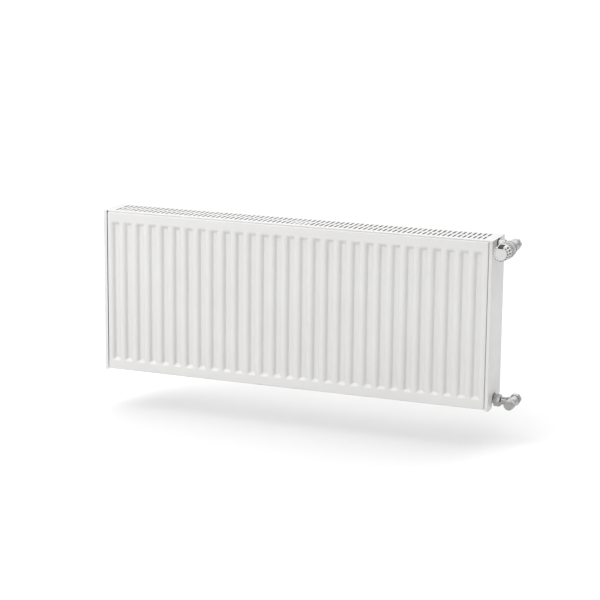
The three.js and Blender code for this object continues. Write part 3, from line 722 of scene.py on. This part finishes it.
def cover_surface(side):
    """A side cover's outside: a box open below and inwards, its bends rounded."""
    low, high = COVER_LOW.z, COVER_HIGH.z
    corner_yz = ((FRONT_Y, low), (REAR_Y, low), (REAR_Y, high), (FRONT_Y, high))
    bm = bmesh.new()
    corners = [
        bm.verts.new(Vector((x, y, z)) * MM)
        for x in (side * (HALF_LENGTH - COVER_STRIP), side * HALF_LENGTH) for y, z in corner_yz]
    outer_face = bm.faces.new(corners[4:])
    for a, b in ((1, 2), (2, 3), (3, 0)):
        bm.faces.new((corners[a], corners[b], corners[b + 4], corners[a + 4]))
    bmesh.ops.recalc_face_normals(bm, faces=bm.faces)
    if outer_face.normal.x * side < 0:
        bmesh.ops.reverse_faces(bm, faces=bm.faces)
    folds = [e for e in bm.edges if len(e.link_faces) == 2]
    bmesh.ops.bevel(bm, geom=folds, offset=COVER_BEND * MM, segments=4, profile=0.5, affect="EDGES",
                    clamp_overlap=True)
    surface = bpy.data.meshes.new("mesh")
    bm.to_mesh(surface)
    bm.free()
    return surface


def side_cover(side, name):
    """A folded cover, drilled for the ports. The lower hole is open at the bottom."""
    face, lip, past = side * HALF_LENGTH, 0.5, 1.5
    behind = face - side * 3

    def drill(z):
        outline = [(0, behind), (PORT_HOLE, behind), (PORT_HOLE, face - side * lip), (PORT_HOLE + lip, face),
                   (PORT_HOLE + lip + past, face + side * past), (0, face + side * past)]
        return spun(outline, "x", (0, PORT_Y, z))

    near_x, far_x = sorted((behind, face + side))
    notch = block((near_x, PORT_Y - PORT_HOLE, COVER_LOW.z - 5), (far_x, PORT_Y + PORT_HOLE, LOWER_Z))
    sheet = thickened(cover_surface(side), COVER_SHEET)
    mesh = softened(cut(sheet, drill(UPPER_Z), united(drill(LOWER_Z), notch)), 0.18, 1, 50)
    piece(f"{name}_cover_sheet", mesh, [f"{name}_side_cover"], "white_enamel", sharp=60)


# ---- Plugs and unions ----


def plugs():
    """The vent plug with its bleed screw, and the blanking plug, each measured from its socket's face."""
    face, neck, root, flats = -9.1, -2.6, 14, 22
    screw_thread = thread(10.4, 0.6, 1.8, root - 1, neck)
    airway = [(4.6, face), (4.6, face + 4), (2.8, face + 4), (2.8, 6), (1.2, 6), (1.2, root)]

    def vent(angle):
        return [(9.2, root)] + screw_thread + hex_rim(flats, neck, face, angle) + airway

    def blank(angle):
        key = hexagon(10, angle)
        socket = [(key + 0.5, face), (key, face + 0.5), (key, face + 7), (0, face + 8)]
        return [(0, root), (9.2, root)] + screw_thread + hex_rim(flats, neck, face, angle) + socket

    upper, lower = (-SOCKET_X, PORT_Y, UPPER_Z), (-SOCKET_X, PORT_Y, LOWER_Z)
    piece("vent_plug_body", spun(vent, "x", upper, 72), ["air_vent_plug"], "nickel_plate")
    piece("blanking_plug_body", spun(blank, "x", lower, 72), ["blanking_plug"], "nickel_plate")
    outline = [(0, face + 3)] + thread(2.4, 0.25, 0.9, face + 3, 3) + [(0, 4)]
    stem = spun(rounded(outline, 0.05), "x", upper, 32)
    x, y, z = upper
    head = softened(block((x + face, y - 2.5, z - 2.5), (x + face + 3.5, y + 2.5, z + 2.5)), 0.35, 3)
    piece("vent_bleed_screw", united(stem, head), ["bleed_screw"], "nickel_plate", "vent_screw")


def union_pieces(prefix, z):
    at = (HALF_LENGTH, PORT_Y, z)
    socket = SOCKET_X - HALF_LENGTH
    start, end, lip = 1, 17, 5.8
    tail = [(6.5, socket - 18)] + thread(10.4, 0.6, 1.8, socket - 18, socket + GAP) + [
        (12.3, socket + GAP), (12.3, socket + 3), (9.2, socket + 3), (9.2, lip + 0.4), (11.4, lip + 0.4),
        (11.4, 9.2), (6.5, 9.2)]
    mesh = spun(rounded(tail, 0.3, 2), "x", at, COARSE)
    piece(f"{prefix}_tail", mesh, [f"{prefix}_tailpiece"], "nickel_plate")

    def nut(angle):
        return [(9.7, start)] + hex_rim(27, start, end, angle) + [
            (12.6, end), (12.2, end - 0.5), (12.2, lip), (9.7, lip)]

    piece(f"{prefix}_coupling_nut", spun(nut, "x", at), [f"{prefix}_union_nut"], "nickel_plate", sharp=25)


def inlet_nut(prefix, at):
    start, shoulder, end = 14.5, 26.6, 32

    def nut(angle):
        return [(11, start)] + hex_rim(25, start, end - 3, angle) + [
            (11.4, end - 2.6), (11, end - 0.5), (10.5, end), (8.2, end), (7.8, end - 0.4), (7.8, shoulder),
            (11, shoulder)]

    piece(f"{prefix}_compression_nut", spun(nut, "y", at), [f"{prefix}_inlet_nut"], "nickel_plate",
          sharp=25)


# ---- Valve bodies ----


def valve_body(prefix, at, reach, neck, barrel, chamber):
    """A forged angle body: a turned barrel, a flared arm with its union thread, and the waterways.
    barrel and chamber are outlines from the room side to the inlet, whose thread and pipe seat they share."""
    end = -reach + 9.5
    barrel = barrel + [(10.6, 12.5)] + thread(10.6, 0.6, 1.5, 14, 23.5) + [(0, 24)]
    chamber = chamber + [(7.8, 14), (7.8, 25), (0, 25)]
    arm = [(0, end), (10.8, end)] + thread(11.7, 0.7, 1.8, end + 0.4, end + 9.2) + [
        (neck, end + 10), (neck, -15.5), (neck + 0.5, -13.2), (neck + 1.4, -11.6), (neck + 1.4, 0), (0, 0)]
    passage = [(0, end - 1), (7.2, end - 1), (6.8, end + 0.5), (6.8, 0), (0, 0)]
    body = united(spun(rounded(barrel, 0.5), "y", at), spun(arm, "x", at))
    mesh = cut(body, spun(chamber, "y", at, COARSE), spun(passage, "x", at, COARSE))
    piece(f"{prefix}_forging", mesh, [f"{prefix}_body"], "nickel_plate", sharp=50)


def thermostat_body():
    barrel = [(0, -30), (13.6, -30)] + thread(14.6, 0.8, 1.5, -29.6, -20.6) + [
        (11.5, -20.4), (11.5, -15), (12.5, -13.5), (12.5, 11.5)]
    chamber = [(0, -31), (9.5, -31), (9.5, 5), (5.5, 5), (5.5, 14)]
    valve_body("thermostat", THERMOSTAT_AT, 34, 9.6, barrel, chamber)


def lockshield_body():
    barrel = [(0, -24), (8.7, -24)] + thread(9.3, 0.5, 1.2, -23.6, -14.6) + [
        (9.3, -14), (11.5, -13), (11.5, 11.5)]
    chamber = [(0, -25), (6.6, -25), (6.6, 4), (5, 4), (5, 14)]
    valve_body("lockshield", LOCKSHIELD_AT, 46, 9.2, barrel, chamber)


# ---- Thermostatic head and lockshield cap ----
# Outlines are (radius, along Y), measured from the valve's centre.

COLLAR_RIBS = 30
NOTCH_HALF, NOTCH_EDGE = 2.2, 0.4  # degrees: half a notch's width, and over which its side rises
WINDOW_HALF = 6.2
WINDOW_FRONT, WINDOW_BACK = (-105.4, 13.2), (-87.5, 19.1)  # (along, above the axis) of its sloping face
WINDOW_DEEP = 1.2
WINDOW_CLEARANCE = 0.3
SLOT_HALF = 6.2  # half a finger slot's width in degrees
SLOT_CENTRES = [90 + 22.5 * k for k in range(16)]
OPEN_SLOTS = SLOT_CENTRES[2:15]  # all but those that the window takes
VENT_ROWS = 3
VENTS_ROUND = 28
VENT_HALF = 4.7  # half a vent's width in degrees
VENT_CENTRES = [360 / VENTS_ROUND * k for k in range(VENTS_ROUND)]
GRIP_STEP = 3.75  # degrees


def near(degrees, centres, half):
    """Whether an angle lies within half of any of the centres, all in degrees."""
    return any(abs((degrees - c + 180) % 360 - 180) < half for c in centres)


def collar_nut():
    centres = [k * 360 / COLLAR_RIBS for k in range(COLLAR_RIBS)]
    plain = [a for a in range(0, 360, 6) if not near(a, centres, NOTCH_HALF + 1)]
    sides = [s * (NOTCH_HALF + off) for s in (-1, 1) for off in (-NOTCH_EDGE / 2, NOTCH_EDGE / 2)]
    notched = [round((c + off) % 360, 3) for c in centres for off in sides]

    def section(angle):
        ribbed = 17 - (0.55 if near(math.degrees(angle), centres, NOTCH_HALF) else 0)
        return [
            (12.7, -36), (16.2, -36), (17, -35.2), (17, -33.6), (ribbed, -33), (ribbed, -25), (17, -24.4),
            (17, -21.6), (16.2, -20.8), (15, -20.8), (15, -34), (12.7, -34)]

    mesh = spun(section, "y", THERMOSTAT_AT, angles=[math.radians(a) for a in sorted(plain + notched)])
    piece("head_union_collar", mesh, ["head_collar_nut"], "nickel_plate", sharp=30)


def head_base():
    """A moulding that carries the white scale ring, and guides the grip close behind its openings. Its
    near-black colour is painted shade, for the shadow inside the openings.
    """
    ring = [(14.3, -45), (18.8, -45), (19.3, -45.5), (19.3, -50), (14.3, -50)]
    mesh = spun(rounded(ring, 0.35, 2), "y", THERMOSTAT_AT)
    piece("head_scale_ring", mesh, ["head_base"], "white_plastic")
    flange = [
        (5.6, -30.3), (14.5, -30.3), (14.5, -33.7), (12.2, -33.7), (12.2, -38), (18.2, -38),
        (19.3, -39.2), (19.3, -44.2), (18.8, -44.7), (14, -44.7)]
    drum = [
        (14, -54.3), (17.6, -54.6), (18.6, -55.4), (18.5, -79.2), (17.7, -80.6), (17.3, -81.2),
        (17.3, -86.6)]
    steps = []
    for k in range(3):
        radius, y = 16.8 - 0.5 * k, -88.2 - 1.6 * k
        steps += [(radius, y), (radius - 0.8, y - 0.3), (radius - 0.8, y - 1.3)]
    inside = [(14.4, -93), (14.4, -81), (12.4, -80), (12.4, -41), (5.6, -41)]
    mesh = spun(rounded(flange + drum + steps + inside, 0.2, 2), "y", THERMOSTAT_AT)
    # The tube's near-black is painted shade behind the vents.
    piece("head_guide_tube", mesh, ["head_base"], "sensor_plastic")


def grip_rows():
    """(along, outer radius, inner radius) of the grip's shell from the tip to the skirt, and the rows at
    which the finger slots and the vents start."""
    rows = [(-101.0, 18.0, 17.2), (-100.6, 18.4, 17.2), (-99.9, 18.6, 17.5)]
    slot_row = len(rows)
    rows += [
        (-99.2, 18.66, 18.0), (-86.2, 19.25, 18.6), (-84.8, 19.3, 18.3), (-84.3, 18.9, 17.9),
        (-81.4, 19.0, 18.0), (-80.9, 19.5, 18.3)]
    vent_rows = []
    for row in range(VENT_ROWS):
        start, grown = -80.0 + 9.1 * row, 0.33 * row
        vent_rows.append(len(rows))
        rows += [(start, 19.5 + grown, 19.0 + grown), (start + 7.4, 19.75 + grown, 19.25 + grown)]
    rows += [
        (-54.0, 20.5, 19.8), (-53.6, 20.5, 17.3), (-53.6, 20.5, 14.5), (-51.9, 20.6, 14.5),
        (-50.8, 20.3, 14.5), (-50.4, 19.7, 14.5)]
    return rows, slot_row, vent_rows


def grip_angles():
    """Angles in degrees round the grip, with one at each side of every slot and vent."""
    edges = {round((c + s * SLOT_HALF) % 360, 3) for c in SLOT_CENTRES for s in (-1, 1)}
    edges |= {round((c + s * VENT_HALF) % 360, 3) for c in VENT_CENTRES for s in (-1, 1)}
    edges |= {round(k * GRIP_STEP, 3) for k in range(int(360 / GRIP_STEP))}
    angles = []
    for edge in sorted(edges):
        if not angles or edge - angles[-1] > 0.3:
            angles.append(edge)
    return angles


def window_cutter():
    """A block that takes in the window's glass and all above it, widened by its clearance."""
    at_x, at_y, at_z = THERMOSTAT_AT
    (front_y, front_z), (back_y, back_z) = WINDOW_FRONT, WINDOW_BACK
    slope = (back_z - front_z) / (back_y - front_y)
    low_y, high_y = front_y - 4 * WINDOW_CLEARANCE - 2, back_y + WINDOW_CLEARANCE
    bottom = front_z - WINDOW_DEEP - WINDOW_CLEARANCE
    half = WINDOW_HALF + WINDOW_CLEARANCE
    section = [(y, bottom + slope * (y - front_y)) for y in (low_y, high_y)]
    section += [(high_y, 26), (low_y, 26)]
    return swept([[(at_x + s * half, at_y + v, at_z + w) for v, w in section] for s in (-1, 1)])


def handwheel():
    """The turning grip: a thin shell with finger slots, a window opening and three rows of vents."""
    rows, slot_row, vent_rows = grip_rows()
    angles = grip_angles()
    count, per = len(angles), len(rows)

    def is_hole(i, j):
        middle = (angles[i] + (angles[(i + 1) % count] or 360)) / 2
        if j == slot_row:
            return near(middle, OPEN_SLOTS, SLOT_HALF)
        return j in vent_rows and near(middle, VENT_CENTRES, VENT_HALF)

    def vertex(i, j, layer):
        return 2 * (i % count * per + j) + layer

    points, faces = [], []
    for degrees in angles:
        for y, outer, inner in rows:
            points.append(on_axis("y", outer, y, math.radians(degrees), THERMOSTAT_AT))
            points.append(on_axis("y", inner, y, math.radians(degrees), THERMOSTAT_AT))
    cells = [(i, j) for i in range(count) for j in range(per - 1)]
    holes = {cell for cell in cells if is_hole(*cell)}
    for i, j in cells:
        if (i, j) in holes:
            continue
        for layer in (0, 1):
            faces.append((vertex(i, j, layer), vertex(i + 1, j, layer), vertex(i + 1, j + 1, layer),
                          vertex(i, j + 1, layer)))
        borders = (
            ((i, j - 1), (i, j), (i + 1, j)),
            ((i, j + 1), (i, j + 1), (i + 1, j + 1)),
            (((i - 1) % count, j), (i, j), (i, j + 1)),
            (((i + 1) % count, j), (i + 1, j), (i + 1, j + 1)))
        for neighbour, a, b in borders:
            if neighbour in holes or neighbour[1] in (-1, per - 1):
                faces.append((vertex(*a, 0), vertex(*b, 0), vertex(*b, 1), vertex(*a, 1)))
    mesh = cut(to_mesh(points, faces), window_cutter())
    piece("head_grip", mesh, ["handwheel"], "white_plastic", "thermostat_handwheel", sharp=30)


def sector(low, high, centre, half, start, end, steps=4):
    """A curved block between two radii, for cutting a slot that follows the rim."""
    outline = ((low, start), (high, start), (high, end), (low, end))
    angles = [math.radians(centre - half + 2 * half * k / steps) for k in range(steps + 1)]
    return swept([[on_axis("y", r, y, a, THERMOSTAT_AT) for r, y in outline] for a in angles])


def joined(meshes):
    """Several separate meshes as one."""
    bm = bmesh.new()
    for mesh in meshes:
        bm.from_mesh(mesh)
    made = bpy.data.meshes.new("mesh")
    bm.to_mesh(made)
    bm.free()
    return made


def end_cap():
    profile = rounded([
        (0, -105.9), (11.4, -106.0), (12.8, -107), (16.4, -106.8), (18.5, -104.8), (18.5, -101.4),
        (17.3, -101.4), (17.3, -104.2), (16.2, -105.0), (13.4, -105.0), (12.4, -103.8), (0, -103.8)], 0.6, 4)
    slots = joined([sector(14.9, 17.6, c, SLOT_HALF, -108, -101) for c in OPEN_SLOTS])
    cap = cut(cut(spun(profile, "y", THERMOSTAT_AT), slots), window_cutter())
    # The tip cap takes the darker copy of the white plastic: painted shade.
    piece("head_tip_cap", softened(cap, 0.12, 2, 40), ["head_end_cap"], "white_plastic",
          "thermostat_handwheel", look="painted_shade_matt_plastic")


def sensor():
    """The temperature sensor inside the grip, with cooling rings where the finger slots show it."""
    rings, first, step = 6, -96.4, 2.1
    outline = [(0, -97), (12.4, -97), (13.0, -96.4)]
    for k in range(rings):
        y = first + k * step
        outline += [(13.1, y), (13.1, y + 1.1), (12.0, y + 1.3), (12.0, y + step - 0.2)]
    outline += [(11.7, first + rings * step), (11.7, -62), (0, -62)]
    mesh = spun(rounded(outline, 0.2, 2), "y", THERMOSTAT_AT, COARSE)
    # The sensor's near-black is painted shade behind the finger slots.
    piece("sensor_body", mesh, ["sensor_capsule"], "sensor_plastic", "thermostat_plunger")


def indicator():
    """The smoked window, sloping from the tip's face up to the grip, with the setting mark on it."""
    x, y, z = THERMOSTAT_AT
    (front_y, front_z), (back_y, back_z) = WINDOW_FRONT, WINDOW_BACK
    section = (
        WINDOW_FRONT, WINDOW_BACK, (back_y, back_z - WINDOW_DEEP), (front_y, front_z - WINDOW_DEEP))
    glass = swept([[(x + s * WINDOW_HALF, y + v, z + w) for v, w in section] for s in (-1, 1)])
    piece("setting_window", softened(glass, 0.45, 3), ["indicator_window"], "dark_window",
          "thermostat_handwheel")
    ahead = Vector((back_y - front_y, back_z - front_z)).normalized()
    middle = Vector(((front_y + back_y) / 2, (front_z + back_z) / 2))
    outer, inner, sunk, proud, sides = (1.6, 2.4), (1.05, 1.85), -0.2, 0.12, 40
    loops = []
    for k in range(sides):
        across, along = math.cos(TURN * k / sides), math.sin(TURN * k / sides)
        loop = []
        for (wide, tall), up in ((outer, sunk), (outer, proud), (inner, proud), (inner, sunk)):
            v = middle.x + ahead.x * along * tall - ahead.y * up
            w = middle.y + ahead.y * along * tall + ahead.x * up
            loop.append((x + across * wide, y + v, z + w))
        loops.append(loop)
    piece("setting_mark", swept(loops, ring=True), [], "sensor_plastic", "thermostat_handwheel")


def return_spring():
    """The coil spring that lifts the disc."""
    low, high = span("valve_return_spring")
    wire, turns, per_turn, sides, travel = 0.55, 5, 24, 10, 2.3
    length = high.y - low.y
    middle_x, middle_z = (low.x + high.x) / 2, (low.z + high.z) / 2
    radius = (high.z - low.z) / 2 - wire
    lead = (length - 2 * wire) / turns
    round_wire = [TURN * i / sides for i in range(sides)]
    loops = []
    for k in range(turns * per_turn + 1):
        angle = TURN * k / per_turn
        out = Vector((math.cos(angle), 0, math.sin(angle)))
        centre = Vector((middle_x, low.y + wire + lead * k / per_turn, middle_z)) + radius * out
        loops.append([
            tuple(centre + wire * (math.cos(a) * out + math.sin(a) * Vector((0, 1, 0)))) for a in round_wire])
    coil = piece("return_spring_coil", swept(loops), ["valve_return_spring"], "spring_steel")
    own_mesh(coil)


def lockshield_cap():
    ribs, rib_depth = 24, 0.9

    def section(angle):
        wave = 0.5 - 0.5 * math.cos(ribs * angle)
        ribbed = 12.4 - rib_depth * wave ** 1.5
        return [
            (0, -39.0), (7.8, -39.0), (8.6, -39.6), (10.2, -39.6), (11.4, -38.7), (ribbed, -37.2),
            (ribbed, -20.4), (11.8, -19.4), (12.6, -18.8), (12.6, -15.6), (12, -14.8), (9.8, -14.8),
            (9.8, -36.5), (0, -36.5)]

    mesh = spun(section, "y", LOCKSHIELD_AT, ribs * 8)
    piece("lockshield_ribbed_cap", mesh, ["lockshield_cap"], "nickel_plate", "lockshield_cover", sharp=45)


# ---- Build ----

panels()
convectors()
tees()
centre_stay()
lugs()
grille()
side_cover(-1, "left")
side_cover(1, "right")
plugs()
union_pieces("thermostat", UPPER_Z)
union_pieces("lockshield", LOWER_Z)
inlet_nut("thermostat", THERMOSTAT_AT)
inlet_nut("lockshield", LOCKSHIELD_AT)
thermostat_body()
lockshield_body()
collar_nut()
head_base()
handwheel()
end_cap()
sensor()
indicator()
return_spring()
lockshield_cap()

# CAD nodes that keep their own shape, by the material they get.
KEPT = {
    "brass": [
        "valve_insert", "thermostat_inlet_olive", "lockshield_inlet_olive", "lockshield_gland",
        "regulating_screw", "regulating_cone"],
    "spring_steel": ["valve_pin"],
    "white_plastic": ["push_sleeve"],
    "rubber": [
        "air_vent_o_ring", "blanking_plug_o_ring", "valve_pin_o_ring", "valve_disc", "lockshield_o_ring"],
}
for slot, names in KEPT.items():
    for node_name in names:
        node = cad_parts[node_name]
        node.data.materials.clear()
        node.data.materials.append(MATERIALS[slot])

# ---- Floor, light and camera ----

FLOOR_Z = -440
FLOOR_RADIUS = 40000

HORIZON_LIGHT = 0.90
HORIZON_LOW, HORIZON_HIGH = 0.15, 0.30  # heights between which the sky takes over from the horizon
SKY_LIGHT = 0.08
# Soft glows in the sky: where each one is, how much light it adds, and the cosine at which it ends.
GLOWS = (
    ((0.0, 0.0, 1.0), 0.78, 0.50),
    ((0.0, 0.0, 1.0), 1.20, 0.88),
    ((0.0, -0.85, 0.50), 1.55, 0.60),
    ((0.1, 0.85, 0.50), 2.25, 0.40),
    ((-0.3, -0.45, 0.84), 1.76, 0.80),
)

# Sizes and places in metres, power in watts.
SOFTBOX_SIZE = (1.6, 1.2)
SOFTBOX_PLACE, SOFTBOX_TARGET = Vector((-1.5, -1.5, 1.25)), Vector((-0.25, -0.1, -0.1))
SOFTBOX_POWER = 15.5
CAMERA_PLACE = Vector((1.70525, -4.3857, 0.9018))
CAMERA_CLIP = 200

CAMERA_YAW, CAMERA_PITCH, CAMERA_ROLL = -0.374461, -0.218373, 0.009733  # radians
LENS, SENSOR = 117.49, 36


def floor():
    rim = [(FLOOR_RADIUS * math.cos(TURN * k / FINE), FLOOR_RADIUS * math.sin(TURN * k / FINE), FLOOR_Z)
           for k in range(FINE)]
    mesh = to_mesh(rim, [tuple(range(FINE))], closed=False)
    n = Nodes(bpy.data.materials.new("pale_floor"))
    coordinates = n.add("ShaderNodeTexCoord").outputs["Object"]
    tone = n.mixed(n.spread(n.noise(coordinates, 1.5), 0.3, 0.7, 0.0, 1.0), grey(0.79), grey(0.80))
    shader = n.add("ShaderNodeBsdfPrincipled", {
        "Base Color": tone, "Roughness": 0.9, "Specular IOR Level": 0.1})
    n.add("ShaderNodeOutputMaterial", {"Surface": shader.outputs["BSDF"]})
    mesh.materials.append(n.owner)
    linked("floor", mesh)


def sky():
    n = Nodes(bpy.data.worlds.new("studio"))
    direction = n.add("ShaderNodeTexCoord").outputs["Generated"]
    light = SKY_LIGHT
    for place, amount, edge in GLOWS:
        facing = n.dot(direction, Vector(place).normalized())
        light = n.maths("ADD", n.spread(facing, edge, 1.0, 0.0, amount, True), light)
    height = n.add("ShaderNodeSeparateXYZ", {"Vector": direction}).outputs["Z"]
    band = n.spread(height, HORIZON_LOW, HORIZON_HIGH, 0.0, 1.0, True)
    above = n.maths("MULTIPLY", n.maths("SUBTRACT", light, HORIZON_LIGHT), band)
    background = n.add("ShaderNodeBackground", {"Strength": n.maths("ADD", above, HORIZON_LIGHT)})
    n.add("ShaderNodeOutputWorld", {"Surface": background.outputs["Background"]})
    bpy.context.scene.world = n.owner


def softbox():
    """A large soft box, near enough for its light to fall off across the radiator."""
    data = bpy.data.lights.new("softbox", "AREA")
    data.shape = "RECTANGLE"
    data.size, data.size_y = SOFTBOX_SIZE
    data.energy = SOFTBOX_POWER
    turned = (SOFTBOX_PLACE - SOFTBOX_TARGET).to_track_quat("Z", "Y").to_matrix().to_4x4()
    linked("softbox", data).matrix_world = Matrix.Translation(SOFTBOX_PLACE) @ turned


def camera():
    flat = math.cos(CAMERA_PITCH)
    ahead = Vector((math.sin(CAMERA_YAW) * flat, math.cos(CAMERA_YAW) * flat, math.sin(CAMERA_PITCH)))
    level = ahead.cross(Vector((0, 0, 1))).normalized()
    upright = level.cross(ahead)
    right = math.cos(CAMERA_ROLL) * level + math.sin(CAMERA_ROLL) * upright
    up = -math.sin(CAMERA_ROLL) * level + math.cos(CAMERA_ROLL) * upright
    data = bpy.data.cameras.new("camera")
    data.lens, data.sensor_width, data.clip_end = LENS, SENSOR, CAMERA_CLIP
    obj = linked("camera", data)
    axes = Matrix((right, up, -ahead)).transposed()
    obj.matrix_world = Matrix.Translation(CAMERA_PLACE) @ axes.to_4x4()
    bpy.context.scene.camera = obj


floor()
sky()
softbox()
camera()
bpy.context.scene.view_settings.view_transform = "Standard"
